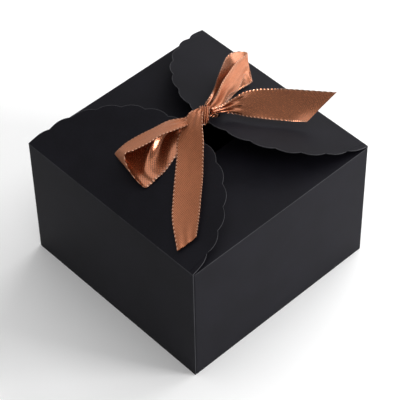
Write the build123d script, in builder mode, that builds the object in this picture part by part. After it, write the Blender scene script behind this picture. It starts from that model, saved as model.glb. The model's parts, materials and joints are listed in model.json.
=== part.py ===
from build123d import *
from math import cos, pi, radians, sin, tan
import os

# Square folded-board gift box with two scalloped petal flaps that meet over the top,
# two inner flaps below them, a snap-lock bottom and a satin ribbon bow that ties it shut.
# Millimetres, +Z up. The origin is the centre of the underside. The front petal folds up
# from the wall on the -Y side, the back petal from the wall on the +Y side.

# Box
box_side = 147.0  # outer width and depth
box_height = 94.0  # base to the creases of the petals
board = 0.6  # thickness of the board

# Creases: a moving panel starts a little off its hinge line, and the wall ends below it
crease_gap = 0.6  # hinge line down to the top of the wall
root_gap = 0.3  # hinge line out to the edge of the moving panel
flap_drop = 0.9  # the inner flaps' creases sit this far below those of the petals

# Petals
petal_side_gap = 0.45  # petal edge in from the outer face of the box, at the crease
tip_gap = 5.6  # petal tip back from the middle of the box, level, for the front petal
front_lift = 17.1  # the angle each petal rests at, above the level
back_lift = 15.5
lobe_count = 14
lobe_depth = 1.8
hole_radius = 3.5  # ribbon hole
hole_inset = 9.0  # petal tip back to the centre of the ribbon hole

# Inner flaps
flap_reach = 62.0
flap_taper = 30.0  # degrees that each end leans in
flap_corner_gap = 1.5
flap_corner_radius = 6.0

# Glue tab, behind the front wall
tab_width = 16.0
tab_taper = 8.0
tab_end_gap = 3.0

# Snap-lock bottom, in three layers from the ground up
tongue_width = 56.0
tongue_length = 18.0  # the level part, over the slot panel
tongue_panel_overlap = 6.0  # how far the tongue panel crosses the middle before its tongue
slot_panel_overlap = 10.0  # how far the slot panel crosses the middle from the other side
slot_depth = 18.0  # from the middle to the slot's closed end
slot_clearance = 3.0  # at each side of the tongue
side_panel_gap = 4.0  # side panels stay this far outside the tongue

# Ribbon and bow. Heights of the bow are above the middle of the petal's board.
ribbon_width = 19.0
ribbon_body = 1.0  # thickness that a single flat length of ribbon takes up
ribbon_lift = 0.9  # underside of the bow
knot_x = 4.0
knot_y = 3.0
knot_radius = 7.0
knot_height = 10.0
knot_rounding = 3.0
knot_seat = 0.9  # knot above the end of the strand below it
joint_gap = 0.3  # knot to each loop and tail
root_bottom = 2.9  # a loop leaves the knot between these two heights
root_top = 9.6
loop_rest = 14.0  # from here outwards a loop rests on its petal
loop_nose = 4.0  # length of the loop's rounded-up end
fan_angle = 22.4  # degrees each side that a loop or tail spreads within as it leaves the knot
strand_radius = 3.0
strand_thickness = 1.4
strand_drop = 0.6  # top of the strand below the middle of the petal's board
strand_past_tip = 4.0

# Loops and tails: compass direction in degrees from +X, and reach from the knot's axis
left_loop_direction = -98.0
left_loop_reach = 55.0
left_loop_height = 17.0
left_loop_end_width = 24.0
back_loop_direction = 111.0
back_loop_reach = 57.0
back_loop_height = 20.0
back_loop_end_width = 21.0
front_tail_direction = -50.0
front_tail_reach = 76.0  # to the short side of the slanted end
front_tail_cut = 11.0  # how much longer the other side is
front_tail_arch = 6.0  # how far above its rest it leaves the knot
front_tail_rest = 46.0  # from here outwards it rests on the petal
right_tail_direction = 54.0
right_tail_reach = 61.0
right_tail_cut = 17.0
right_tail_lean = 56.0  # degrees that its width stands up from the petal
right_tail_root = 2.7  # height of its lower edge at the knot
right_tail_end = 5.0  # and at its end

half = box_side / 2
inner_half = half - board
hinge_half = half - board / 2  # hinge lines run through the middle of the walls
flap_height = box_height - flap_drop
petal_half_width = half - petal_side_gap
petal_reach = (hinge_half - tip_gap) / cos(radians(front_lift))
hole_reach = petal_reach - hole_inset
strand_reach = petal_reach + strand_past_tip
bow_start = knot_radius + joint_gap
pinched_width = 2 * bow_start * tan(radians(fan_angle))
spread = ribbon_width / 2 / tan(radians(fan_angle))  # where it reaches its full width

os.makedirs("parts", exist_ok=True)


def save(piece, name):
    """Label a finished piece and write it to its own file."""
    piece.part.label = name
    export_step(piece.part, f"parts/{name}.step")


def petal_plane(side, lift):
    """Middle of a petal's board: origin on the hinge line, x along it, y towards the tip."""
    tilt = radians(lift)
    return Plane(
        origin=(0, side * hinge_half, box_height),
        x_dir=(-side, 0, 0),
        z_dir=(0, side * sin(tilt), cos(tilt)),
    )


def edge_point(angle, inset):
    """A point on the petal's rounded edge, or a little inside it."""
    return ((petal_half_width - inset) * cos(angle), (petal_reach - inset) * sin(angle))


def make_wall(length, height, turn):
    """An upright wall, seen from the side that the turn faces."""
    with BuildPart() as wall:
        with BuildSketch(Plane.XY.rotated((0, 0, turn))):
            with Locations((0, -(inner_half + board / 2))):
                Rectangle(length, board)
        extrude(amount=height)
    return wall


def make_petal(side, lift):
    """A half-round petal with lobes along its edge and a hole for the ribbon near its tip."""
    plane = petal_plane(side, lift)
    step = pi / lobe_count
    start = (petal_half_width, root_gap)
    end = (-petal_half_width, root_gap)
    with BuildPart() as petal:
        with BuildSketch(plane.offset(-board / 2)):
            with BuildLine():
                last = start
                for lobe in range(lobe_count):
                    top = edge_point((lobe + 0.5) * step, 0)
                    notch = edge_point((lobe + 1) * step, lobe_depth)
                    if lobe == lobe_count - 1:
                        notch = end
                    ThreePointArc(last, top, notch)
                    last = notch
                Line(end, start)
            make_face()
            with Locations((0, hole_reach)):
                Circle(hole_radius, mode=Mode.SUBTRACT)
        extrude(amount=board)
    return petal


def make_flap(turn):
    """An inner flap, level, with leaning ends and rounded free corners."""
    root_half = half - flap_corner_gap
    free_half = root_half - flap_reach * tan(radians(flap_taper))
    root = -hinge_half + root_gap
    free = -hinge_half + flap_reach
    with BuildPart() as flap:
        with BuildSketch(Plane.XY.offset(flap_height - board / 2).rotated((0, 0, turn))) as outline:
            with BuildLine():
                Polyline(
                    (-root_half, root),
                    (root_half, root),
                    (free_half, free),
                    (-free_half, free),
                    close=True,
                )
            make_face()
            fillet(free_corners(outline), flap_corner_radius)
        extrude(amount=board)
    return flap


def free_corners(outline):
    """The two corners of a flap that lie nearest the middle of the box."""
    return outline.vertices().sort_by(lambda corner: abs(corner.X))[:2]


def make_side_panel(turn):
    """A bottom panel that folds in from a side wall, with ends cut back at 45 degrees."""
    free_y = -(tongue_width / 2 + side_panel_gap)
    free_half = -free_y
    with BuildPart() as panel:
        with BuildSketch(Plane.XY.offset(board).rotated((0, 0, turn))):
            with BuildLine():
                Polyline(
                    (-inner_half, -inner_half),
                    (inner_half, -inner_half),
                    (free_half, free_y),
                    (-free_half, free_y),
                    close=True,
                )
            make_face()
        extrude(amount=board)
    return panel


def bow_frame(side, lift, direction):
    """Frame of a loop or tail: x along it, z across it, y up from the petal that it lies on."""
    petal = petal_plane(side, lift)
    from_crease = hinge_half - side * knot_y
    foot = Vector(knot_x, knot_y, box_height + from_crease * tan(radians(lift)))
    turn = radians(direction)
    level = Vector(cos(turn), sin(turn), 0)
    along = level - petal.z_dir * level.dot(petal.z_dir)
    return Plane(origin=foot, x_dir=along, z_dir=along.cross(petal.z_dir))


def seen_from_above(frame):
    """The frame turned to face down onto the petal: x along the loop or tail, y across it."""
    return Plane(origin=frame.origin, x_dir=frame.x_dir, z_dir=-frame.y_dir)


def make_loop(side, lift, direction, reach, height, end_width):
    """A closed bow loop as a plain solid: pinched at the knot, fullest past its middle."""
    frame = bow_frame(side, lift, direction)
    nose = (reach, ribbon_lift + 0.35 * height)
    fullest = (0.78 * reach, ribbon_lift + height)
    shoulder = (0.42 * reach, ribbon_lift + 0.9 * height)
    root = (bow_start, root_top)
    with BuildPart() as loop:
        with BuildSketch(frame):
            with BuildLine():
                Polyline(
                    root,
                    (bow_start, root_bottom),
                    (loop_rest, ribbon_lift),
                    (reach - loop_nose, ribbon_lift),
                    nose,
                )
                Spline(nose, fullest, shoulder, root)
            make_face()
        extrude(amount=end_width, both=True)
        with BuildSketch(seen_from_above(frame)):
            with BuildLine():
                Polyline(
                    (bow_start, -pinched_width / 2),
                    (spread, -ribbon_width / 2),
                    (reach, -end_width / 2),
                    (reach, end_width / 2),
                    (spread, ribbon_width / 2),
                    (bow_start, pinched_width / 2),
                    close=True,
                )
            make_face()
        extrude(amount=2 * height, both=True, mode=Mode.INTERSECT)
    return loop


# Walls. The side walls stand between the front and back walls.
front_wall = make_wall(box_side, box_height - crease_gap, 0)
save(front_wall, "front_wall")
back_wall = make_wall(box_side, box_height - crease_gap, 180)
save(back_wall, "back_wall")
right_wall = make_wall(2 * inner_half, flap_height - crease_gap, 90)
save(right_wall, "right_wall")
left_wall = make_wall(2 * inner_half, flap_height - crease_gap, 270)
save(left_wall, "left_wall")

# Glue tab: a strip that comes off the right wall and lies on the inside of the front wall
with BuildPart() as glue_tab:
    with BuildSketch(Plane.XZ.offset(inner_half)):
        with BuildLine():
            Polyline(
                (inner_half, tab_end_gap),
                (inner_half, flap_height - tab_end_gap),
                (inner_half - tab_width, flap_height - tab_end_gap - tab_taper),
                (inner_half - tab_width, tab_end_gap + tab_taper),
                close=True,
            )
        make_face()
    extrude(amount=-board)
save(glue_tab, "glue_tab")

# Bottom, lowest layer: the panel from the back wall, with the tongue that locks it
tongue_rise = 3 * board
tongue_level = -slot_depth + board
tongue_end = tongue_level - tongue_length
with BuildPart() as bottom_tongue_panel:
    with BuildSketch(Plane.XY):
        with Locations((0, (inner_half - tongue_panel_overlap) / 2)):
            Rectangle(2 * inner_half, inner_half + tongue_panel_overlap)
    extrude(amount=board)
    with BuildSketch(Plane.YZ):
        with BuildLine():
            Polyline(
                (-tongue_panel_overlap, 0),
                (tongue_level, tongue_rise),
                (tongue_end, tongue_rise),
                (tongue_end, tongue_rise + board),
                (tongue_level, tongue_rise + board),
                (-tongue_panel_overlap, board),
                close=True,
            )
        make_face()
    extrude(amount=tongue_width / 2, both=True)
save(bottom_tongue_panel, "bottom_tongue_panel")

# Bottom, middle layer: the two side panels
bottom_right_panel = make_side_panel(90)
save(bottom_right_panel, "bottom_right_panel")
bottom_left_panel = make_side_panel(270)
save(bottom_left_panel, "bottom_left_panel")

# Bottom, top layer: the panel from the front wall, whose slot takes the tongue
slot_width = tongue_width + 2 * slot_clearance
with BuildPart() as bottom_slot_panel:
    with BuildSketch(Plane.XY.offset(2 * board)):
        with Locations((0, (slot_panel_overlap - inner_half) / 2)):
            Rectangle(2 * inner_half, inner_half + slot_panel_overlap)
        with Locations((0, (slot_panel_overlap - slot_depth) / 2)):
            Rectangle(slot_width, slot_panel_overlap + slot_depth, mode=Mode.SUBTRACT)
    extrude(amount=board)
save(bottom_slot_panel, "bottom_slot_panel")

# Petals and inner flaps
front_petal = make_petal(-1, front_lift)
save(front_petal, "front_petal")
back_petal = make_petal(1, back_lift)
save(back_petal, "back_petal")
right_inner_flap = make_flap(90)
save(right_inner_flap, "right_inner_flap")
left_inner_flap = make_flap(270)
save(left_inner_flap, "left_inner_flap")

# The length of ribbon below the petals: each half comes down through its petal's hole
for name, side, lift in (("front_ribbon_strand", -1, front_lift), ("back_ribbon_strand", 1, back_lift)):
    petal = petal_plane(side, lift)
    with BuildPart() as strand:
        with BuildSketch(petal.offset(board / 2)):
            with Locations((0, hole_reach)):
                Circle(strand_radius)
        extrude(amount=-(board / 2 + strand_drop + strand_thickness))
        with BuildSketch(petal.offset(-strand_drop)):
            with Locations((0, (hole_reach + strand_reach) / 2)):
                Rectangle(2 * strand_radius, strand_reach - hole_reach)
        extrude(amount=-strand_thickness)
    save(strand, name)

# Knot: a rounded roll over the two petal tips
strand_end_height = box_height + strand_reach * sin(radians(front_lift)) - strand_drop
knot_bottom = strand_end_height + knot_seat
with BuildPart() as bow_knot:
    with BuildSketch(Plane.XY.offset(knot_bottom)):
        with Locations((knot_x, knot_y)):
            Circle(knot_radius)
    extrude(amount=knot_height)
    fillet(bow_knot.edges().filter_by(GeomType.CIRCLE), knot_rounding)
save(bow_knot, "bow_knot")

# Loops
left_bow_loop = make_loop(
    -1, front_lift, left_loop_direction, left_loop_reach, left_loop_height, left_loop_end_width
)
save(left_bow_loop, "left_bow_loop")
back_bow_loop = make_loop(
    1, back_lift, back_loop_direction, back_loop_reach, back_loop_height, back_loop_end_width
)
save(back_bow_loop, "back_bow_loop")

# Front tail: arches down from the knot and lies along the front petal, its end cut on the slant
front_frame = bow_frame(-1, front_lift, front_tail_direction)
front_tail_tip = front_tail_reach + front_tail_cut
with BuildPart() as front_ribbon_tail:
    with BuildSketch(front_frame):
        with BuildLine():
            Polyline(
                (bow_start, ribbon_lift + front_tail_arch),
                (spread, ribbon_lift + front_tail_arch / 2),
                (front_tail_rest, ribbon_lift),
                (front_tail_tip, ribbon_lift),
                (front_tail_tip, ribbon_lift + ribbon_body),
                (front_tail_rest, ribbon_lift + ribbon_body),
                (spread, ribbon_lift + front_tail_arch / 2 + ribbon_body),
                (bow_start, ribbon_lift + front_tail_arch + ribbon_body),
                close=True,
            )
        make_face()
    extrude(amount=ribbon_width, both=True)
    with BuildSketch(seen_from_above(front_frame)):
        with BuildLine():
            Polyline(
                (bow_start, -pinched_width / 2),
                (spread, -ribbon_width / 2),
                (front_tail_reach, -ribbon_width / 2),
                (front_tail_tip, ribbon_width / 2),
                (spread, ribbon_width / 2),
                (bow_start, pinched_width / 2),
                close=True,
            )
        make_face()
    extrude(amount=2 * ribbon_width, both=True, mode=Mode.INTERSECT)
save(front_ribbon_tail, "front_ribbon_tail")

# Right tail: stands on its lower edge above the back petal, leaning back
right_frame = bow_frame(1, back_lift, right_tail_direction)
lean_axis = Axis((0, 0, 0), right_frame.x_dir)
right_face = Plane(
    origin=right_frame.origin,
    x_dir=right_frame.x_dir,
    z_dir=right_frame.z_dir.rotate(lean_axis, right_tail_lean - 90),
)
with BuildPart() as right_ribbon_tail:
    with BuildSketch(right_face):
        with BuildLine():
            Polyline(
                (bow_start, right_tail_root),
                (right_tail_reach, right_tail_end),
                (right_tail_reach + right_tail_cut, right_tail_end + ribbon_width),
                (spread, right_tail_root + ribbon_width),
                (bow_start, right_tail_root + pinched_width),
                close=True,
            )
        make_face()
    extrude(amount=ribbon_body / 2, both=True)
save(right_ribbon_tail, "right_ribbon_tail")
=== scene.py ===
"""A square gift box in matt black board: scalloped petals over the top, tied with a satin bow.

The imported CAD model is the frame. Sizes and places come from it, in metres, +Z up.
"""

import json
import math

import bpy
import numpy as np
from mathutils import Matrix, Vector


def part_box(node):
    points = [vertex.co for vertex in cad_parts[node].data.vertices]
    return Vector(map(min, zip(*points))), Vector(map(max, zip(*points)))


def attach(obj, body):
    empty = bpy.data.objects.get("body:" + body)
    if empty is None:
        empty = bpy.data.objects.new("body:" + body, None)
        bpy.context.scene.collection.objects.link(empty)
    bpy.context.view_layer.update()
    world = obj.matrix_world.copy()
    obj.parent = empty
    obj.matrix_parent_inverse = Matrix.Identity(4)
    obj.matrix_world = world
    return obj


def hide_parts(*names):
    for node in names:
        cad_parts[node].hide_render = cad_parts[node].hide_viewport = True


bl_info = {
    "name": "Petal Top Gift Box",
    "version": (1, 0, 0),
    "blender": (4, 5, 0),
    "location": "View3D > Sidebar > Gift Box",
    "description": "Models the board panels and the satin bow of a petal top gift box",
    "category": "Object",
}

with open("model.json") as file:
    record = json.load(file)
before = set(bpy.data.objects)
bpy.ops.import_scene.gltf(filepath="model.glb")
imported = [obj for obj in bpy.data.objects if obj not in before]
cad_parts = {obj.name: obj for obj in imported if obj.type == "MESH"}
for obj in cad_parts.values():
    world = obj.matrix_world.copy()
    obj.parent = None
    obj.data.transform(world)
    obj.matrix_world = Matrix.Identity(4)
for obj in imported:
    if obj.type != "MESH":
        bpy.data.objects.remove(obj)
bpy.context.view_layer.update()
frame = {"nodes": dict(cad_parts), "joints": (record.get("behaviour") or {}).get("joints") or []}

MM = 0.001
HINGES = {joint["name"]: Vector(joint["pos_m"]) for joint in frame["joints"] if "pos_m" in joint}

BOX_LOW = Vector(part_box("front_wall")[0])
BOX_HALF = -BOX_LOW.x
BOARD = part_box("front_wall")[1][1] - BOX_LOW.y
PETAL_CREASE = HINGES["front_petal_hinge"].z
FLAP_CREASE = HINGES["left_flap_hinge"].z
HINGE_HALF = HINGES["right_flap_hinge"].x

HOLE_INSET = 9 * MM  # petal tip back to the middle of the ribbon hole
HOLE_RADIUS = 3.5 * MM
FLAP_TAPER = math.radians(30)  # how far each end of an inner flap leans in
FLAP_CORNER = 6 * MM
BEAD_SHARE = 0.49  # round of a wall's top edge, as a share of the board
WELD = MM / 100  # points closer than this are one

UV_SCALE = 0.01  # a ribbon's UV map holds millimetres times this
TWILL_PITCH = 1.3  # millimetres between the slanting ribs of the weave
COUNTER_PITCH = 1.7  # millimetres between the ribs that cross them
EDGE_REACH = 0.9  # millimetres that the painted glints and painted shade of the edge loops reach in
RIBBON_COLUMNS = 44  # faces across a ribbon
LOOP_STEPS = 8  # rows of faces to each small edge loop

LIGHT_AIM = Vector((0, 0, 0.07))


def petal_rest(node, side):
    """(lift in radians, reach in metres) of a petal at rest, from its CAD node's box."""
    low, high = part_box(node)
    level = HINGE_HALF - abs(high[1] if side < 0 else low[1])
    rise = high[2] - PETAL_CREASE
    reach = math.hypot(level, rise)
    return math.atan2(rise, level) - BOARD / 2 / reach, reach


FRONT_LIFT, PETAL_REACH = petal_rest("front_petal", -1)
BACK_LIFT = petal_rest("back_petal", 1)[0]


# ---------------------------------------------------------------- settings


class BoardSettings(bpy.types.PropertyGroup):
    """Sizes and colours of the folded board."""

    fold_radius: bpy.props.FloatProperty(
        name="Fold radius", description="Outside radius of the box's upright folds",
        default=1.3 * MM, min=0.7 * MM, max=4 * MM, unit="LENGTH",
    )
    panel_thickness: bpy.props.FloatProperty(
        name="Panel thickness", description="Thickness of the petals and inner flaps",
        default=0.54 * MM, min=0.2 * MM, max=1 * MM, unit="LENGTH",
    )
    lobe_count: bpy.props.IntProperty(
        name="Lobes", description="Lobes along the edge of each petal", default=14, min=1, max=40,
    )
    lobe_depth: bpy.props.FloatProperty(
        name="Lobe depth", description="Depth of the notches between lobes",
        default=1.8 * MM, min=0, max=5 * MM, unit="LENGTH",
    )
    worn_rim: bpy.props.FloatProperty(
        name="Worn rim", description="Width of the grey line that the cutting die leaves round a petal",
        default=0.17 * MM, min=0, max=2 * MM, unit="LENGTH",
    )
    crown: bpy.props.FloatProperty(
        name="Petal crown", description="How far a petal bows up between its crease and its tip",
        default=0.8 * MM, min=0, max=3 * MM, unit="LENGTH",
    )
    face_color: bpy.props.FloatVectorProperty(
        name="Face colour", description="Colour of the printed black face",
        default=(0.0055, 0.0052, 0.0082), min=0, max=1, size=3, subtype="COLOR",
    )
    edge_color: bpy.props.FloatVectorProperty(
        name="Cut edge colour", description="Colour of the grey core at a cut edge",
        default=(0.085, 0.085, 0.092), min=0, max=1, size=3, subtype="COLOR",
    )
    # Lighter grey on the walls' top beads: partly wear where a fold cracks the black face, partly a painted
    # highlight along the crease. The walls' cut ends take it too.
    fold_wear_and_highlight_color: bpy.props.FloatVectorProperty(
        name="Worn fold colour", description="Colour where a fold has cracked the black face",
        default=(0.03, 0.03, 0.034), min=0, max=1, size=3, subtype="COLOR",
    )


class RibbonSettings(bpy.types.PropertyGroup):
    """Sizes and colours of the satin ribbon."""

    width: bpy.props.FloatProperty(
        name="Width", description="Flat width of the ribbon, edge loops included",
        default=19 * MM, min=5 * MM, max=50 * MM, unit="LENGTH",
    )
    thickness: bpy.props.FloatProperty(
        name="Thickness", description="Thickness of one layer",
        default=0.3 * MM, min=0.1 * MM, max=1 * MM, unit="LENGTH",
    )
    picot_pitch: bpy.props.FloatProperty(
        name="Edge loop pitch", description="Distance between the small loops along both edges",
        default=2.3 * MM, min=0.5 * MM, max=8 * MM, unit="LENGTH",
    )
    picot_depth: bpy.props.FloatProperty(
        name="Edge loop depth", description="How far the small loops stand out from the edge",
        default=0.34 * MM, min=0, max=2 * MM, unit="LENGTH",
    )
    satin_color: bpy.props.FloatVectorProperty(
        name="Satin colour", description="Colour of the glossy satin face",
        default=(0.44, 0.15, 0.066), min=0, max=1, size=3, subtype="COLOR",
    )
    twill_color: bpy.props.FloatVectorProperty(
        name="Back colour", description="Colour of the woven back",
        default=(0.60, 0.205, 0.093), min=0, max=1, size=3, subtype="COLOR",
    )
    # Painted glints: the edge loops are coloured this lighter tone where light would catch them.
    picot_glint_color: bpy.props.FloatVectorProperty(
        name="Edge loop colour", description="Colour of the bright edge threads",
        default=(0.80, 0.52, 0.38), min=0, max=1, size=3, subtype="COLOR",
    )


class StageSettings(bpy.types.PropertyGroup):
    """Camera, light and floor."""

    camera_azimuth: bpy.props.FloatProperty(
        name="Camera azimuth", description="Direction the camera stands in, turned from the front",
        default=math.radians(47.4), subtype="ANGLE",
    )
    camera_elevation: bpy.props.FloatProperty(
        name="Camera elevation", description="Height of the camera above the horizon",
        default=math.radians(47.68), subtype="ANGLE",
    )
    camera_roll: bpy.props.FloatProperty(
        name="Camera roll", description="How far the camera leans to one side",
        default=math.radians(-1.225), subtype="ANGLE",
    )
    camera_distance: bpy.props.FloatProperty(
        name="Camera distance", description="Distance from the camera to the box",
        default=1.1615, unit="LENGTH",
    )
    aim_rise: bpy.props.FloatProperty(
        name="Aim rise", description="How far above the base's middle the camera aims, in its own view",
        default=29.8 * MM, unit="LENGTH",
    )
    lens: bpy.props.FloatProperty(name="Lens", description="Focal length in millimetres", default=161.25)
    floor_color: bpy.props.FloatVectorProperty(
        name="Floor colour", description="Colour of the plain floor",
        default=(0.97, 0.97, 0.97), min=0, max=1, size=3, subtype="COLOR",
    )
    sky: bpy.props.FloatProperty(
        name="Room light", description="Strength of the even light from all round", default=0.3, min=0,
    )


# ---------------------------------------------------------------- small tools


def deselect_all():
    """Leaves nothing selected and nothing active."""
    if bpy.context.object and bpy.context.object.mode != "OBJECT":
        bpy.ops.object.mode_set(mode="OBJECT")
    bpy.ops.object.select_all(action="DESELECT")


def make_active(piece):
    """Selects one piece and makes it the active one."""
    deselect_all()
    piece.select_set(True)
    bpy.context.view_layer.objects.active = piece


def named(name):
    """Names the object that was just added, and its mesh."""
    piece = bpy.context.object
    piece.name = name
    piece.data.name = name
    return piece


def pick(piece, kind, test):
    """Enters edit mode with only the vertices, edges or faces chosen that pass the test."""
    make_active(piece)
    bpy.ops.object.mode_set(mode="EDIT")
    bpy.ops.mesh.select_mode(type=kind)
    bpy.ops.mesh.select_all(action="DESELECT")
    bpy.ops.object.mode_set(mode="OBJECT")
    mesh = piece.data
    groups = {"VERT": mesh.vertices, "EDGE": mesh.edges, "FACE": mesh.polygons}
    for part in groups[kind]:
        if kind == "VERT":
            part.select = test(part.co)
        elif kind == "EDGE":
            part.select = all(test(mesh.vertices[v].co) for v in part.vertices)
        else:
            part.select = test(part.center)
    bpy.ops.object.mode_set(mode="EDIT")


def done():
    """Back to object mode."""
    bpy.ops.object.mode_set(mode="OBJECT")


def apply_modifier(piece, kind, **values):
    """Adds a modifier to a piece, sets it and applies it."""
    make_active(piece)
    modifier = piece.modifiers.new(kind.title(), kind)
    for key, value in values.items():
        setattr(modifier, key, value)
    bpy.ops.object.modifier_apply(modifier=modifier.name)


def place(piece, matrix):
    """Moves a piece's mesh, and leaves its object at the origin."""
    make_active(piece)
    bpy.ops.object.transform_apply(location=True, rotation=True, scale=True)
    piece.data.transform(matrix)
    piece.data.update()


def smooth(piece, degrees):
    """Smooth shading up to an angle between faces."""
    make_active(piece)
    bpy.ops.object.shade_smooth_by_angle(angle=math.radians(degrees), keep_sharp_edges=False)


def finish_piece(piece, body, nodes):
    """Parents a piece to its body and hides the CAD nodes that it stands for."""
    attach(piece, body)
    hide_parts(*nodes)


# ---------------------------------------------------------------- materials


class Shader:
    """Builds one node material, with the Principled shader already in place."""

    def __init__(self, name):
        self.material = bpy.data.materials.new(name)
        self.material.use_nodes = True
        self.tree = self.material.node_tree
        self.surface = self.tree.nodes["Principled BSDF"]

    def add(self, kind, **values):
        """Adds a node and sets its properties, or its sockets by name."""
        node = self.tree.nodes.new(kind)
        for key, value in values.items():
            if hasattr(node, key):
                setattr(node, key, value)
            else:
                node.inputs[key.replace("_", " ")].default_value = value
        return node

    def link(self, output, socket):
        self.tree.links.new(output, socket)

    def math(self, operation, first, second=0.0, clamp=False):
        """A Math node: each input is a number or another node's output."""
        node = self.tree.nodes.new("ShaderNodeMath")
        node.operation = operation
        node.use_clamp = clamp
        for socket, value in zip(node.inputs, (first, second)):
            if isinstance(value, (int, float)):
                socket.default_value = value
            else:
                self.link(value, socket)
        return node.outputs[0]

    def ramp(self, source, low, high):
        """A smooth step of a value, from 0 at low to 1 at high."""
        node = self.add("ShaderNodeMapRange", interpolation_type="SMOOTHSTEP")
        self.link(source, node.inputs["Value"])
        node.inputs["From Min"].default_value = low
        node.inputs["From Max"].default_value = high
        return node.outputs["Result"]

    def span(self, source, low, high):
        """A value from 0 to 1 spread from low to high."""
        node = self.add("ShaderNodeMapRange")
        self.link(source, node.inputs["Value"])
        node.inputs["To Min"].default_value = low
        node.inputs["To Max"].default_value = high
        return node.outputs["Result"]

    def blend(self, factor, first, second):
        """Mixes two colours, each a tuple or an output."""
        node = self.add("ShaderNodeMix", data_type="RGBA")
        sockets = [socket for socket in node.inputs if socket.type == "RGBA"]
        self.link(factor, node.inputs["Factor"])
        for socket, value in zip(sockets, (first, second)):
            if isinstance(value, tuple):
                socket.default_value = (*value, 1.0)
            else:
                self.link(value, socket)
        return next(output for output in node.outputs if output.type == "RGBA")

    def noise(self, place, scale, detail=3.0, roughness=0.5):
        node = self.add("ShaderNodeTexNoise")
        node.inputs["Scale"].default_value = scale
        node.inputs["Detail"].default_value = detail
        node.inputs["Roughness"].default_value = roughness
        self.link(place, node.inputs["Vector"])
        return node.outputs["Fac"]

    def bump(self, height, distance, strength=1.0, under=None):
        node = self.add("ShaderNodeBump")
        node.inputs["Distance"].default_value = distance
        node.inputs["Strength"].default_value = strength
        self.link(height, node.inputs["Height"])
        if under is not None:
            self.link(under, node.inputs["Normal"])
        return node.outputs["Normal"]


def scaled(color, factor):
    """A colour made lighter or darker."""
    return tuple(min(1.0, channel * factor) for channel in color)


def board_material(name, color, grain, roughness):
    """Uncoated board: short fibres, a faint mottle and a soft uneven sheen."""
    shader = Shader(name)
    place_on = shader.add("ShaderNodeTexCoord").outputs["Object"]
    mottle = shader.noise(place_on, 45.0, 4.0, 0.55)
    fibre = shader.noise(place_on, 900.0, 5.0, 0.65)
    speck = shader.noise(place_on, 2600.0, 2.0, 0.5)
    mixed = shader.math("ADD", shader.math("MULTIPLY", mottle, 0.45), shader.math("MULTIPLY", fibre, 0.55))
    tone = shader.ramp(mixed, 0.32, 0.68)
    base = shader.blend(tone, scaled(color, 1 - grain), scaled(color, 1 + grain))
    bright = shader.ramp(speck, 0.66, 0.8)
    flecked = shader.blend(shader.math("MULTIPLY", bright, 0.35), base, scaled(color, 2.2))
    shader.link(flecked, shader.surface.inputs["Base Color"])
    shader.link(shader.span(fibre, roughness - 0.07, roughness + 0.09), shader.surface.inputs["Roughness"])
    shader.surface.inputs["Specular IOR Level"].default_value = 0.1
    coarse = shader.bump(mottle, 0.25 * MM, 0.18)
    shader.link(shader.bump(fibre, 0.06 * MM, 0.55, coarse), shader.surface.inputs["Normal"])
    return shader.material


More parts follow.
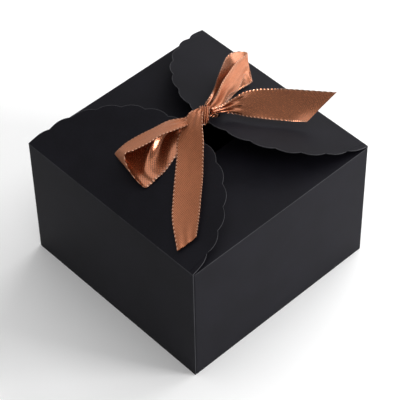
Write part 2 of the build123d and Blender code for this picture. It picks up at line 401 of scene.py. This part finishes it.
def ribbon_material(name, light, painted_shade, picot_glint, edge_at, glossy):
    """One face of the ribbon: its glossy satin face, or its back with the slanting weave in sight.

    The piece's UV map holds millimetres along and across it, times UV_SCALE. edge_at holds the
    ribbon's width, how far in the painted glints and shade of the edge loops reach, and the distance between
    its loops."""
    shader = Shader(name)
    width, reach, pitch = edge_at
    uv = shader.add("ShaderNodeUVMap", uv_map="ribbon").outputs["UV"]
    split = shader.add("ShaderNodeSeparateXYZ")
    shader.link(uv, split.inputs["Vector"])
    along = shader.math("MULTIPLY", split.outputs["X"], 1 / UV_SCALE)
    across = shader.math("MULTIPLY", split.outputs["Y"], 1 / UV_SCALE)
    slant = shader.math("ADD", along, across)
    twill = shader.math("SINE", shader.math("MULTIPLY", slant, 2 * math.pi / TWILL_PITCH))
    slope = shader.math("SUBTRACT", along, shader.math("MULTIPLY", across, 1.3))
    counter = shader.math("SINE", shader.math("MULTIPLY", slope, 2 * math.pi / COUNTER_PITCH))
    stretch = shader.add("ShaderNodeMapping")
    stretch.inputs["Scale"].default_value = (2.2, 34.0, 1.0)
    shader.link(uv, stretch.inputs["Vector"])
    streak = shader.noise(stretch.outputs["Vector"], 24.0, 3.0, 0.6)
    thread = shader.noise(uv, 160.0, 2.0, 0.5)
    cloud = shader.noise(uv, 26.0, 3.0, 0.5)
    strength = 0.5 if glossy else 0.9
    weave = shader.math("MULTIPLY", twill, strength)
    weave = shader.math("ADD", weave, shader.math("MULTIPLY", counter, strength * 0.45))
    weave = shader.math("ADD", weave, shader.math("MULTIPLY", shader.math("SUBTRACT", streak, 0.5), 0.9))
    grain = shader.math("MULTIPLY", shader.math("SUBTRACT", thread, 0.5), 0.3 if glossy else 1.3)
    weave = shader.math("ADD", weave, grain)
    height = shader.math("ADD", shader.math("MULTIPLY", weave, 0.5), 0.5, clamp=True)
    # Painted shade: where the weave, its streaks and its threads sink, the colour goes down to the darker
    # copy.
    threads = shader.blend(shader.ramp(height, 0.1, 0.85), painted_shade, light)
    # Cloudy patches of painted sheen, lighter than the ribbon's own colour.
    threads = shader.blend(shader.math("MULTIPLY", cloud, 0.3), threads, scaled(light, 1.3))
    # The edge loops: a painted glint on each loop and painted shade in the gaps between them.
    middle = shader.math("ABSOLUTE", shader.math("SUBTRACT", across, width / MM / 2))
    edge = shader.ramp(middle, width / MM / 2 - reach, width / MM / 2 - 0.2)
    beads = shader.math("SINE", shader.math("MULTIPLY", along, 2 * math.pi / (pitch / MM)))
    bright = shader.math("MULTIPLY", edge, shader.ramp(beads, -0.1, 0.9))
    shade = shader.math("MULTIPLY", edge, shader.ramp(beads, 0.2, -0.8))
    color = shader.blend(shader.math("MULTIPLY", bright, 0.5), threads, picot_glint)
    color = shader.blend(shader.math("MULTIPLY", shade, 0.6), color, scaled(painted_shade, 0.5))
    surface = shader.surface.inputs
    shader.link(color, surface["Base Color"])
    rough = 0.23 if glossy else 0.46
    shader.link(shader.span(streak, rough - 0.05, rough + 0.1), surface["Roughness"])
    surface["Metallic"].default_value = 0.8 if glossy else 0.2
    surface["Coat Weight"].default_value = 0.6 if glossy else 0.0
    surface["Coat Roughness"].default_value = 0.2
    surface["Specular IOR Level"].default_value = 0.7 if glossy else 0.5
    surface["Specular Tint"].default_value = (1.0, 0.8, 0.66, 1.0)
    surface["Sheen Weight"].default_value = 0.05 if glossy else 0.18
    surface["Sheen Roughness"].default_value = 0.4
    surface["Sheen Tint"].default_value = (1.0, 0.68, 0.5, 1.0)
    beaded = shader.math("MULTIPLY", edge, beads)
    soft = shader.bump(cloud, 0.5 * MM, 0.12)
    fine = shader.bump(height, 0.12 * MM, 0.25 if glossy else 0.75, soft)
    shader.link(shader.bump(beaded, 0.2 * MM, 0.6, fine), surface["Normal"])
    return shader.material


def floor_material(name, color):
    """A plain pale floor with a barely visible grain."""
    shader = Shader(name)
    place_on = shader.add("ShaderNodeTexCoord").outputs["Object"]
    grain = shader.noise(place_on, 30.0, 4.0)
    tone = shader.blend(grain, scaled(color, 0.985), scaled(color, 1.01))
    shader.link(tone, shader.surface.inputs["Base Color"])
    shader.surface.inputs["Roughness"].default_value = 0.75
    shader.surface.inputs["Specular IOR Level"].default_value = 0.2
    return shader.material


def once(name, build):
    """A material by name, built the first time it is asked for."""
    return bpy.data.materials.get(name) or build(name)


def board_face():
    color = tuple(bpy.context.scene.gift_board.face_color)
    return once("black_board", lambda name: board_material(name, color, 0.3, 0.56))


def board_edge():
    color = tuple(bpy.context.scene.gift_board.edge_color)
    return once("board_cut_edge", lambda name: board_material(name, color, 0.35, 0.75))


def board_fold():
    # The fold grey: wear and a painted highlight along the crease.
    color = tuple(bpy.context.scene.gift_board.fold_wear_and_highlight_color)
    return once("board_worn_fold_and_highlight", lambda name: board_material(name, color, 0.4, 0.6))


def ribbon_faces():
    """The ribbon's woven back and its satin face."""
    cloth = bpy.context.scene.gift_ribbon
    edge = (cloth.width, EDGE_REACH, cloth.picot_pitch)
    picot_glint = tuple(cloth.picot_glint_color)
    # Each face comes with a darker copy of its colour, for the painted shade in the weave's hollows.
    twill = (tuple(cloth.twill_color), scaled(tuple(cloth.twill_color), 0.12), picot_glint, edge)
    satin = (tuple(cloth.satin_color), scaled(tuple(cloth.satin_color), 0.38), picot_glint, edge)
    return (
        once("ribbon_back", lambda name: ribbon_material(name, *twill, glossy=False)),
        once("ribbon_satin", lambda name: ribbon_material(name, *satin, glossy=True)),
    )


# ---------------------------------------------------------------- board pieces


def board_thickness(piece, thickness, offset):
    """Gives a single sheet its materials and thickness, with the cut edges in the second slot."""
    for material in (board_face(), board_edge(), board_fold()):
        piece.data.materials.append(material)
    apply_modifier(piece, "SOLIDIFY", thickness=thickness, offset=offset, material_offset_rim=1)


def model_wall(name, left_end, left_fold, right_fold, top):
    """A wall facing the front: a flat sheet whose upright ends turn into the folds.

    left_end is where its left outer side stands. left_fold and right_fold are how far each end
    turns, in radians, or 0 for a cut end."""
    settings = bpy.context.scene.gift_board
    radius = settings.fold_radius
    left = left_end + (radius if left_fold else 0)
    right = BOX_HALF - (radius if right_fold else 0)
    deselect_all()
    bpy.ops.mesh.primitive_plane_add(size=1)
    wall = named(name)
    middle = Matrix.Translation(((left + right) / 2, -BOX_HALF, top / 2))
    upright = Matrix.Rotation(math.pi / 2, 4, "X")
    place(wall, middle @ upright @ Matrix.Diagonal((right - left, top, 1, 1)))
    for end, angle, way in ((left, left_fold, 1), (right, right_fold, -1)):
        if angle:
            pick(wall, "EDGE", lambda co: abs(co.x - end) < WELD)
            bpy.ops.mesh.spin(
                steps=8, angle=angle * way, center=(end, -BOX_HALF + radius, 0), axis=(0, 0, 1), dupli=False
            )
            done()
    pick(wall, "VERT", lambda co: True)
    bpy.ops.mesh.remove_doubles(threshold=WELD)
    bpy.ops.mesh.normals_make_consistent(inside=False)
    done()
    if wall.data.polygons[0].normal.y > 0:
        wall.data.flip_normals()
    board_thickness(wall, BOARD, -1)
    return wall


def round_top(wall, top):
    """Rounds a wall's top edge into a half-round bead, about which the panel above it folds."""
    pick(wall, "EDGE", lambda co: co.z > top - MM / 10)
    bpy.ops.mesh.bevel(offset=BOARD * BEAD_SHARE, segments=5, affect="EDGES")
    done()


def mark_fold(piece, test):
    """Puts the faces that pass the test into the third slot: the worn fold grey, partly a painted highlight.
    """
    for face in piece.data.polygons:
        if test(face):
            face.material_index = 2


PLAIN_PANELS = (
    "glue_tab",
    "bottom_slot_panel",
    "bottom_tongue_panel",
    "bottom_left_panel",
    "bottom_right_panel",
)


class GIFT_OT_walls(bpy.types.Operator):
    """Model the four walls, with rounded upright folds and one glued corner"""

    bl_idname = "gift.walls"
    bl_label = "Walls"

    def execute(self, context):
        half_turn = math.radians(45)
        quarter = math.radians(90)
        petal_top = PETAL_CREASE + BOARD / 2
        flap_top = FLAP_CREASE + BOARD / 2
        # name, turn about the upright, how far its left and right ends turn, and its top
        walls = (
            ("front_wall", 0, half_turn, 0, petal_top),
            ("right_wall", 90, quarter, half_turn, flap_top),
            ("back_wall", 180, half_turn, half_turn, petal_top),
            ("left_wall", 270, half_turn, half_turn, flap_top),
        )
        for name, turn, left, right, top in walls:
            left_end = BOARD - BOX_HALF if name == "right_wall" else -BOX_HALF
            wall = model_wall(name + "_board", left_end, left, right, top)
            round_top(wall, top)
            # The top bead gets the fold grey, which is partly a painted highlight along the crease; the cut
            # ends get it too.
            mark_fold(wall, lambda face: face.center.z > top - BOARD * 0.7 or face.material_index == 1)
            wall.data.transform(Matrix.Rotation(math.radians(turn), 4, "Z"))
            smooth(wall, 40)
            finish_piece(wall, "box", [name])
        for name in PLAIN_PANELS:
            panel = frame["nodes"][name]
            panel.data.materials.clear()
            panel.data.materials.append(board_face())
        return {"FINISHED"}


def petal_matrix(side, lift):
    """From a petal's own flat shape to its place: x along the crease, y to the tip, z out."""
    turn = Matrix.Rotation(0 if side < 0 else math.pi, 4, "Z")
    return turn @ Matrix.Translation((0, -HINGE_HALF, PETAL_CREASE)) @ Matrix.Rotation(lift, 4, "X")


def model_petal(name, settings):
    """A petal lying flat: a grid drawn out to the lobed edge, crowned and thickened."""
    across = settings.lobe_count * 14
    rows = 26
    low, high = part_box("front_petal")
    half_width = (high[0] - low[0]) / 2
    deselect_all()
    bpy.ops.mesh.primitive_grid_add(x_subdivisions=across, y_subdivisions=rows, size=2)
    petal = named(name)
    last_row = max(face.center.y for face in petal.data.polygons) - MM
    for face in petal.data.polygons:
        if face.center.y > last_row:
            face.material_index = 1
    for vertex in petal.data.vertices:
        angle = math.pi * (1 - vertex.co.x) / 2
        share = (vertex.co.y + 1) / 2
        lobe = (angle / math.pi * settings.lobe_count) % 1
        inset = settings.lobe_depth * (2 * lobe - 1) ** 2
        if min(angle, math.pi - angle) < math.pi / settings.lobe_count / 2:
            inset = 0
        if vertex.co.y < 1 - MM:
            inset += settings.worn_rim
            share *= rows / (rows - 1)
        rim = Vector(((half_width - inset) * math.cos(angle), (PETAL_REACH - inset) * math.sin(angle), 0))
        root = Vector((rim.x, 0, 0))
        spot = root.lerp(rim, share)
        spot.z = settings.crown * math.sin(math.pi * min(1, spot.y / PETAL_REACH)) * math.sin(angle)
        vertex.co = spot
    pick(petal, "VERT", lambda co: True)
    bpy.ops.mesh.remove_doubles(threshold=MM / 50)
    done()
    board_thickness(petal, settings.panel_thickness, 0)
    return petal


def hole_through(piece, x, y, radius):
    """Cuts a round hole down through a flat panel."""
    deselect_all()
    bpy.ops.mesh.primitive_cylinder_add(vertices=48, radius=radius, depth=8 * MM, location=(x, y, 0))
    drill = bpy.context.object
    apply_modifier(piece, "BOOLEAN", operation="DIFFERENCE", solver="EXACT", object=drill)
    bpy.data.objects.remove(drill)


class GIFT_OT_petals(bpy.types.Operator):
    """Model the two scalloped petals"""

    bl_idname = "gift.petals"
    bl_label = "Petals"

    def execute(self, context):
        settings = context.scene.gift_board
        for name, side, lift in (("front_petal", -1, FRONT_LIFT), ("back_petal", 1, BACK_LIFT)):
            petal = model_petal(name + "_board", settings)
            hole_through(petal, 0, PETAL_REACH - HOLE_INSET, HOLE_RADIUS)
            petal.data.transform(petal_matrix(side, lift))
            smooth(petal, 40)
            finish_piece(petal, name, [name])
        return {"FINISHED"}


class GIFT_OT_inner_flaps(bpy.types.Operator):
    """Model the two inner flaps below the petals"""

    bl_idname = "gift.inner_flaps"
    bl_label = "Inner flaps"

    def execute(self, context):
        settings = context.scene.gift_board
        low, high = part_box("right_inner_flap")
        reach = HINGE_HALF - low[0]
        root_half = high[1] - settings.fold_radius / 2
        free_half = root_half - reach * math.tan(FLAP_TAPER)
        flaps = (("right_inner_flap", 90, "right_flap"), ("left_inner_flap", 270, "left_flap"))
        for name, turn, body in flaps:
            deselect_all()
            bpy.ops.mesh.primitive_plane_add(size=1)
            flap = named(name + "_board")
            shape = Matrix.Diagonal((2 * root_half, reach, 1, 1))
            place(flap, Matrix.Translation((0, reach / 2, 0)) @ shape)
            pick(flap, "EDGE", lambda co: co.y > reach - MM)
            bpy.ops.transform.resize(value=(free_half / root_half, 1, 1), center_override=(0, reach, 0))
            bpy.ops.mesh.bevel(offset=FLAP_CORNER, segments=8, affect="VERTICES")
            done()
            board_thickness(flap, settings.panel_thickness, 0)
            flap.data.transform(Matrix.Translation((0, -HINGE_HALF, FLAP_CREASE)))
            flap.data.transform(Matrix.Rotation(math.radians(turn), 4, "Z"))
            smooth(flap, 40)
            finish_piece(flap, body, [name])
        return {"FINISHED"}


# ---------------------------------------------------------------- ribbon pieces

# Each length of ribbon is given by its two edges, in millimetres, from the knot outwards.
# A loop goes out and comes back to the knot. Many of these places were first worked out by a
# separate script and rounded, and others were changed or chosen by hand.
FRONT_TAIL = (
    ((0, 1, 124), (4, 1, 125)),
    ((0, -6, 126), (9, -4, 129.5)),
    ((2, -13, 121.5), (15, -10, 127.5)),
    ((5, -21, 116), (21, -15, 123)),
    ((12, -28, 112), (28, -22, 118)),
    ((20, -37, 108.5), (36, -30, 114.5)),
    ((30, -48, 104.5), (43, -38, 112)),
    ((39, -57, 101.5), (51, -47, 108.5)),
    ((56, -69, 98), (59, -57, 103)),
)
RIGHT_TAIL = (
    ((5, 8, 119), (4, 8, 122.5)),
    ((6, 16, 115.5), (5, 18, 120.5)),
    ((10, 22, 113), (7, 24, 122.5)),
    ((15, 26, 111.5), (9, 31, 124)),
    ((21, 32, 110), (12, 39, 123)),
    ((27, 39, 108), (17, 47, 121.3)),
    ((33, 46.5, 106), (23, 54.5, 120.3)),
    ((40, 54, 105), (42, 77, 115.5)),
)
LEFT_LOOP = (
    ((1, -1, 124), (4, -2, 125)),
    ((-2, -7, 121.5), (5, -10, 123.5)),
    ((-9, -15, 119), (4, -20, 125)),
    ((-13, -24, 116), (1, -30, 125)),
    ((-16, -32, 114), (-1, -39, 123)),
    ((-19, -40, 111), (-4, -47, 121)),
    ((-20, -46, 108.5), (-6, -53, 119.5)),
    ((-20.3, -48, 107), (-1, -54, 110)),
    ((-20.3, -48.3, 106), (9, -52.5, 103.3)),
    ((-19, -45, 107), (10.5, -48.5, 103.3)),
    ((-16, -41, 109), (11, -44, 104.5)),
    ((-13, -34, 112), (11, -37, 107)),
    ((-11, -27, 115), (9, -27, 110)),
    ((-7, -19, 117), (8, -16, 114)),
    ((-2, -10, 120), (6, -6, 118)),
    ((1, -2, 121), (5, -2, 120)),
)
LEFT_LOOP_DENTS = (
    (((0.1, 95), (0.4, 80), (0.95, 74)), 4.0, 1.9, (0.5, 0.7)),
    (((0.1, 104), (0.4, 91), (0.95, 86)), 6.0, -2.3, (0.42, 0.45)),
)
BACK_LOOP = (
    ((2, 8, 121), (5, 9, 121)),
    ((-1, 17, 123), (5, 16, 120)),
    ((-6, 26.5, 124), (-1, 28, 117)),
    ((-11.5, 38, 122), (-4, 38, 112.5)),
    ((-17, 50, 119), (-11, 49, 109)),
    ((-21, 61, 114.5), (-14.5, 54, 107.5)),
    ((-24, 65.5, 112), (-12, 57.5, 103)),
    ((-27.5, 59, 114.5), (-10, 56, 103)),
    ((-26, 50, 117), (-9.5, 52, 103.3)),
    ((-16, 34, 120.5), (-8, 42, 106.5)),
    ((-6.5, 19.5, 122), (-1, 25, 112.5)),
    ((-2, 8, 121), (4, 10, 118.5)),
)


def through(points):
    """Points close together along a smooth curve through the given points."""
    points = np.array(points, dtype=float)
    padded = np.vstack([2 * points[0] - points[1], points, 2 * points[-1] - points[-2]])
    fine = 40
    share = np.linspace(0, 1, fine, endpoint=False)[:, None]
    curve = []
    for p0, p1, p2, p3 in zip(padded, padded[1:], padded[2:], padded[3:]):
        part = 2 * p1 + (p2 - p0) * share + (2 * p0 - 5 * p1 + 4 * p2 - p3) * share**2
        curve.append(0.5 * (part + (3 * p1 - p0 - 3 * p2 + p3) * share**3))
    return np.vstack(curve + [points[-1:]])


def evened(edges, step):
    """Both edges as matching rows of points, about one step apart along their middle."""
    left = through([edge[0] for edge in edges])
    right = through([edge[1] for edge in edges])
    middle = (left + right) / 2
    walked = np.concatenate([[0], np.cumsum(np.linalg.norm(np.diff(middle, axis=0), axis=1))])
    rows = np.linspace(0, walked[-1], int(walked[-1] / step) + 1)

    def at_rows(line):
        return np.array([np.interp(rows, walked, line[:, axis]) for axis in range(3)]).T

    return at_rows(left), at_rows(right), rows


def unit(vectors):
    return vectors / np.maximum(np.linalg.norm(vectors, axis=-1, keepdims=True), 1e-9)


def model_ribbon(
    name, edges, settings, cup=(0, 0), pleats=2.5, phase=0.0, ripple=0.25, gather=0.4, dents=(), satin="below"
):
    """A length of ribbon as a thin sheet between its two edges.

    Where the edges are closer than the ribbon is wide, the spare width goes into pleats.
    Each dent is a ridge or a hollow: its line, as (share across, distance along), how far it spreads
    along, its height, and (where, how far) it reaches across.
    cup, in millimetres, bows the middle of the ribbon out of its plane: at its start and its end."""
    flat_width = settings.width / MM
    step = settings.picot_pitch / MM / LOOP_STEPS
    left, right, rows = evened(edges, step)
    share = np.linspace(0, 1, RIBBON_COLUMNS + 1)[None, :, None]
    chord = right - left
    width = np.linalg.norm(chord, axis=1)
    side = unit(chord)
    heading = unit(np.gradient((left + right) / 2, axis=0))
    up = unit(np.cross(side, heading))
    fullness = np.clip(width / flat_width, 0.2, 1.0)
    fold = width / (2 * math.pi * pleats) * np.sqrt(2 * (1 / fullness**2 - 1))
    fold = np.minimum(fold, 1.2 + gather) * np.clip((0.86 - fullness) / (0.8 - 0.6 * gather), 0, 1)
    wave = np.sin(2 * math.pi * pleats * share[..., 0] + phase + 0.02 * rows[:, None])
    taper = np.sin(math.pi * share[..., 0]) ** 0.35
    lift = fold[:, None] * wave * taper
    bow = np.linspace(cup[0], cup[1], len(rows))[:, None] * fullness[:, None] ** 2
    lift += bow * 4 * share[..., 0] * (1 - share[..., 0])
    shiver = np.sin(rows[:, None] / 5.3 + 2.1 * share[..., 0] + phase)
    lift += ripple * shiver * np.sin(math.pi * share[..., 0])
    for crest, spread, height, (across, reach) in dents:
        places, heights = zip(*crest)
        centre = np.polyval(np.polyfit(places, heights, 2), share[..., 0])
        near = np.exp(-(((rows[:, None] - centre) / spread) ** 2))
        lift += height * near * np.exp(-(((share[..., 0] - across) / reach) ** 2))
    beat = np.abs(np.sin(math.pi * rows / (settings.picot_pitch / MM)))
    teeth = (settings.picot_depth / MM) * beat**0.7
    spots = left[:, None, :] + chord[:, None, :] * share + up[:, None, :] * lift[..., None]
    spots[:, 0, :] -= side * teeth[:, None]
    spots[:, -1, :] += side * teeth[:, None]
    mesh = bpy.data.meshes.new(name)
    count_rows, count_columns = spots.shape[:2]
    index = np.arange(count_rows * count_columns).reshape(count_rows, count_columns)
    corners = [index[:-1, :-1], index[1:, :-1], index[1:, 1:], index[:-1, 1:]]
    faces = np.stack(corners, axis=-1).reshape(-1, 4)
    mesh.from_pydata((spots.reshape(-1, 3) * MM).tolist(), [], faces.tolist())
    layer = mesh.uv_layers.new(name="ribbon")
    flat_along = np.repeat(rows, count_columns) * UV_SCALE
    flat_across = np.tile(share[0, :, 0], count_rows) * flat_width * UV_SCALE
    corner = np.zeros(len(mesh.loops), dtype=int)
    mesh.loops.foreach_get("vertex_index", corner)
    layer.data.foreach_set("uv", np.stack([flat_along[corner], flat_across[corner]], axis=-1).ravel())
    piece = bpy.data.objects.new(name, mesh)
    bpy.context.scene.collection.objects.link(piece)
    for material in ribbon_faces():
        piece.data.materials.append(material)
    apply_modifier(piece, "SOLIDIFY", thickness=settings.thickness, offset=0, material_offset=1)
    if satin != "below":
        piece.data.polygons.foreach_set("material_index", satin_slots(piece, satin))
    smooth(piece, 60)
    return piece, rows[-1] * MM


def satin_slots(piece, satin):
    """The material slots of a ribbon's faces, with the satin on its other side or out of sight."""
    slots = np.zeros(len(piece.data.polygons), dtype=int)
    piece.data.polygons.foreach_get("material_index", slots)
    return 1 - slots if satin == "above" else 0 * slots


def hang_ribbon(name, edges, node, rests_on, **shape):
    settings = bpy.context.scene.gift_ribbon
    piece, length = model_ribbon(name, edges, settings, **shape)
    finish_piece(piece, "bow", [node])


class GIFT_OT_tails(bpy.types.Operator):
    """Model the two tails of the bow"""

    bl_idname = "gift.tails"
    bl_label = "Ribbon tails"

    def execute(self, context):
        hang_ribbon(
            "front_tail_ribbon", FRONT_TAIL, "front_ribbon_tail", ["front_petal_board"],
            cup=(0.9, 0.9), phase=0.6,
        )
        hang_ribbon(
            "right_tail_ribbon", RIGHT_TAIL, "right_ribbon_tail", ["back_petal_board"],
            cup=(0.8, 0.8), phase=2.0, satin="above",
        )
        return {"FINISHED"}


class GIFT_OT_loops(bpy.types.Operator):
    """Model the two loops of the bow"""

    bl_idname = "gift.loops"
    bl_label = "Ribbon loops"

    def execute(self, context):
        hang_ribbon(
            "left_loop_ribbon", LEFT_LOOP, "left_bow_loop", ["front_petal_board"],
            cup=(-0.8, 0.4), phase=0.3, dents=LEFT_LOOP_DENTS,
        )
        hang_ribbon(
            "back_loop_ribbon", BACK_LOOP, "back_bow_loop", ["back_petal_board"],
            cup=(-2.4, 1.2), phase=1.3, satin="above", gather=0.5, pleats=1.5,
        )
        return {"FINISHED"}


class GIFT_OT_knot(bpy.types.Operator):
    """Model the knot: gathered ribbon wound round and into the middle of the bow"""

    bl_idname = "gift.knot"
    bl_label = "Knot"

    def execute(self, context):
        settings = context.scene.gift_ribbon
        low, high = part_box("bow_knot")
        middle = (Vector(low) + Vector(high)) / 2 / MM + Vector((-0.6, -0.7, 0.0))
        axis = Vector((0.68, 0.73, 0))
        level = Vector((0.73, -0.68, 0))
        half_width = 2.6
        outer_radius = 4.6
        steps = 33
        last_full_step = 13  # from here on the band winds inwards
        ring = []
        for step in range(steps + 1):
            angle = math.radians(-60 + step * 28)
            inwards = max(0, step - last_full_step) / (steps - last_full_step)
            radius = outer_radius * (1 - 0.85 * inwards)
            spot = middle + (level * math.cos(angle) + Vector((0, 0, math.sin(angle)))) * radius
            lean = axis * 0.6 * math.sin(angle) * radius / outer_radius
            ring.append((tuple(spot + lean - axis * half_width), tuple(spot + lean + axis * half_width)))
        band, length = model_ribbon(
            "knot_band_ribbon", ring, settings,
            cup=(-1.0, -1.0), pleats=4.0, phase=0.4, gather=1.0, satin="none",
        )
        finish_piece(band, "bow", ["bow_knot"])
        return {"FINISHED"}


class GIFT_OT_strands(bpy.types.Operator):
    """Model the short strands of ribbon that pass through the petals' holes"""

    bl_idname = "gift.strands"
    bl_label = "Ribbon strands"

    def execute(self, context):
        settings = context.scene.gift_ribbon
        for name, side, lift in (("front", -1, FRONT_LIFT), ("back", 1, BACK_LIFT)):
            hole = (PETAL_REACH - HOLE_INSET) / MM
            flat = (
                ((-2.2, hole - 1, 0.8), (2.2, hole - 1, 0.8)),
                ((-2.2, hole - 0.6, -0.4), (2.2, hole - 0.6, -0.4)),
                ((-2.6, hole + 2.5, -1.6), (2.6, hole + 2.5, -1.6)),
                ((-3, hole + 7, -1.7), (3, hole + 7, -1.7)),
                ((-3, hole + 12, -1.7), (3, hole + 12, -1.7)),
            )
            strand, length = model_ribbon(name + "_strand_ribbon", flat, settings, pleats=3.5, ripple=0.0)
            strand.data.transform(petal_matrix(side, lift))
            finish_piece(strand, name + "_petal", [name + "_ribbon_strand"])
        return {"FINISHED"}


# ---------------------------------------------------------------- stage


def add_light(name, size, power, place_at):
    """A square soft light that faces the top of the box."""
    data = bpy.data.lights.new(name, "AREA")
    data.shape = "RECTANGLE"
    data.size, data.size_y = size
    data.energy = power
    light = bpy.data.objects.new(name, data)
    light.location = place_at
    aim = LIGHT_AIM - Vector(place_at)
    light.rotation_euler = aim.to_track_quat("-Z", "Y").to_euler()
    bpy.context.scene.collection.objects.link(light)


class GIFT_OT_stage(bpy.types.Operator):
    """Set up the floor, the light and the camera"""

    bl_idname = "gift.stage"
    bl_label = "Stage"

    def execute(self, context):
        settings = context.scene.gift_stage
        deselect_all()
        bpy.ops.mesh.primitive_plane_add(size=6)
        floor = named("floor")
        floor.data.materials.append(floor_material("pale_floor", tuple(settings.floor_color)))

        world = bpy.data.worlds.new("soft_room")
        context.scene.world = world
        world.use_nodes = True
        sky = world.node_tree.nodes["Background"]
        sky.inputs["Color"].default_value = (1, 1, 1, 1)
        sky.inputs["Strength"].default_value = settings.sky

        add_light("right_softbox", (0.6, 0.5), 24.0, (1.25, 0.9, 0.4))
        add_light("back_softbox", (1.6, 0.9), 18.0, (-0.1, 1.35, 1.0))
        add_light("top_softbox", (2.4, 2.4), 22.0, (0.0, 0.0, 2.0))

        data = bpy.data.cameras.new("camera")
        data.sensor_width = 36
        data.lens = settings.lens
        camera = bpy.data.objects.new("camera", data)
        context.scene.collection.objects.link(camera)
        azimuth, elevation = settings.camera_azimuth, settings.camera_elevation
        back = Vector((math.sin(azimuth) * math.cos(elevation), -math.cos(azimuth) * math.cos(elevation),
                       math.sin(elevation)))
        right = Vector((0, 0, 1)).cross(back).normalized()
        up = back.cross(right)
        cos_roll, sin_roll = math.cos(settings.camera_roll), math.sin(settings.camera_roll)
        right, up = right * cos_roll + up * sin_roll, up * cos_roll - right * sin_roll
        spot = up * settings.aim_rise + back * settings.camera_distance
        camera.matrix_world = Matrix((
            (right.x, up.x, back.x, spot.x),
            (right.y, up.y, back.y, spot.y),
            (right.z, up.z, back.z, spot.z),
            (0, 0, 0, 1),
        ))
        context.scene.camera = camera
        context.scene.view_settings.view_transform = "Standard"
        return {"FINISHED"}


class GIFT_PT_panel(bpy.types.Panel):
    """Lists the gift box's pieces"""

    bl_label = "Gift Box"
    bl_idname = "GIFT_PT_panel"
    bl_space_type = "VIEW_3D"
    bl_region_type = "UI"
    bl_category = "Gift Box"

    def draw(self, context):
        scene = context.scene
        for title, settings in (
            ("Board", scene.gift_board), ("Ribbon", scene.gift_ribbon), ("Stage", scene.gift_stage),
        ):
            box = self.layout.box()
            box.label(text=title)
            for key in settings.__annotations__:
                box.prop(settings, key)
        for operator in OPERATORS:
            self.layout.operator(operator.bl_idname)


OPERATORS = (
    GIFT_OT_stage,
    GIFT_OT_walls,
    GIFT_OT_petals,
    GIFT_OT_inner_flaps,
    GIFT_OT_loops,
    GIFT_OT_tails,
    GIFT_OT_knot,
    GIFT_OT_strands,
)
CLASSES = (BoardSettings, RibbonSettings, StageSettings, *OPERATORS, GIFT_PT_panel)


def register():
    for cls in CLASSES:
        bpy.utils.register_class(cls)
    bpy.types.Scene.gift_board = bpy.props.PointerProperty(type=BoardSettings)
    bpy.types.Scene.gift_ribbon = bpy.props.PointerProperty(type=RibbonSettings)
    bpy.types.Scene.gift_stage = bpy.props.PointerProperty(type=StageSettings)


def unregister():
    del bpy.types.Scene.gift_stage
    del bpy.types.Scene.gift_ribbon
    del bpy.types.Scene.gift_board
    for cls in reversed(CLASSES):
        bpy.utils.unregister_class(cls)


def main():
    """Makes every piece in order."""
    register()
    bpy.ops.gift.stage()
    bpy.ops.gift.walls()
    bpy.ops.gift.petals()
    bpy.ops.gift.inner_flaps()
    bpy.ops.gift.loops()
    bpy.ops.gift.tails()
    bpy.ops.gift.knot()
    bpy.ops.gift.strands()


if __name__ == "__main__":
    main()
